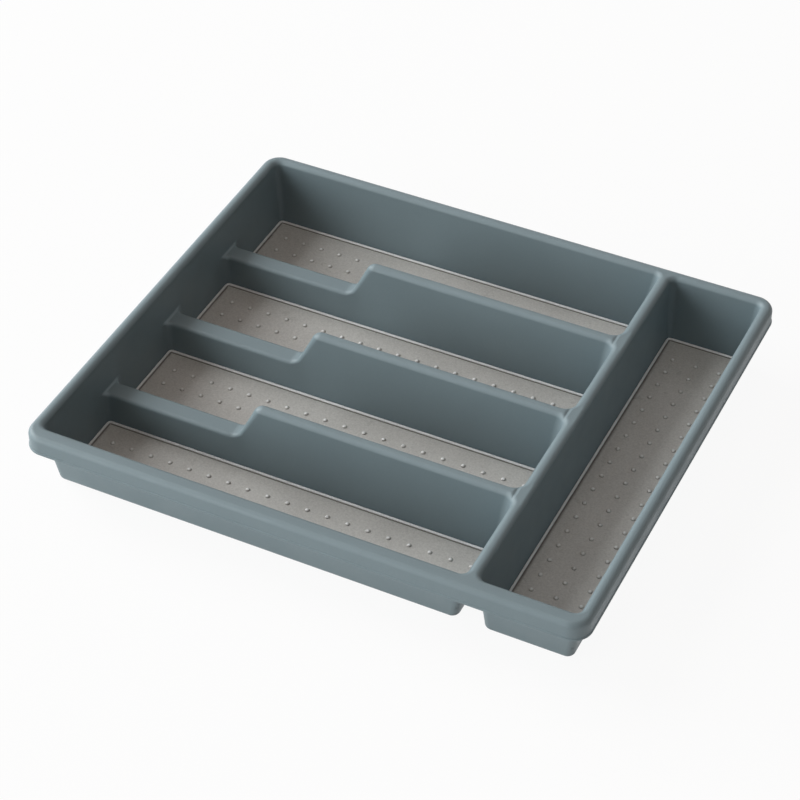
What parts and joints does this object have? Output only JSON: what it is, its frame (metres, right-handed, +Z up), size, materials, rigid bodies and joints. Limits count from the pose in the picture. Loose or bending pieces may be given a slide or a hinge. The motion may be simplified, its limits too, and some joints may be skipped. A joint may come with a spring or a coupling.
{
  "type": "cutlery tray",
  "caption": "Moulded drawer tray with parallel cutlery rows, a tall side compartment, dipped dividers and soft dotted liners.",
  "frame": {"origin": "on the surface that the tray stands on, under the middle of its outline", "axes": "+X along the cutlery rows towards the side compartment, +Y to the back, +Z up"},
  "size_m": [0.3776, 0.3286, 0.053],
  "materials": {
    "shell": "satin moulded polypropylene, blue-grey",
    "liner": "matt soft-touch elastomer, warm grey",
    "foot": "matt soft elastomer, dark grey"
  },
  "bodies": {
    "root": {"tray_body": "shell", "back_row_liner": "liner", "second_row_liner": "liner", "third_row_liner": "liner", "front_row_liner": "liner", "side_liner": "liner", "foot_back_left": "foot", "foot_back_middle": "foot", "foot_front_left": "foot", "foot_front_middle": "foot", "foot_back_right": "foot", "foot_front_right": "foot"}
  },
  "joints": []
}
